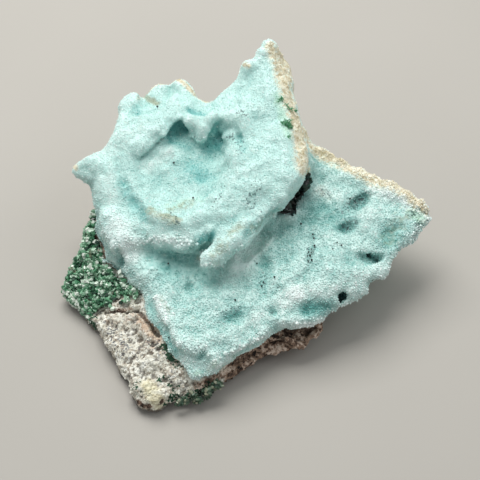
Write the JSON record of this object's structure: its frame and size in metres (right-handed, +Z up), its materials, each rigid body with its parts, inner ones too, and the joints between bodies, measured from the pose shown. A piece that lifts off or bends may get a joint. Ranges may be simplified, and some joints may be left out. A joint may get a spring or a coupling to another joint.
{
  "type": "mineral specimen",
  "caption": "Chrysocolla with malachite: a sparkling blue-green crust in two stepped plates with a bowl, dark green crystals beside it, on rough host rock.",
  "frame": {"origin": "on the ground, inside the flat patch under the host rock that the specimen rests on", "axes": "+Z up, +Y from the front edge towards the spire, +X towards the right tip of the lower plate"},
  "size_m": [0.0668, 0.0663, 0.0272],
  "materials": {
    "chrysocolla": "sugary crystal crust",
    "rock": "rough broken stone",
    "malachite": "small glassy crystals",
    "dark_malachite": "small glassy crystals"
  },
  "bodies": {
    "root": {"chrysocolla_crust": "chrysocolla", "host_rock": "rock", "malachite_crust": "malachite", "malachite_tuft": "dark_malachite", "malachite_front_patch": "malachite"}
  },
  "joints": []
}
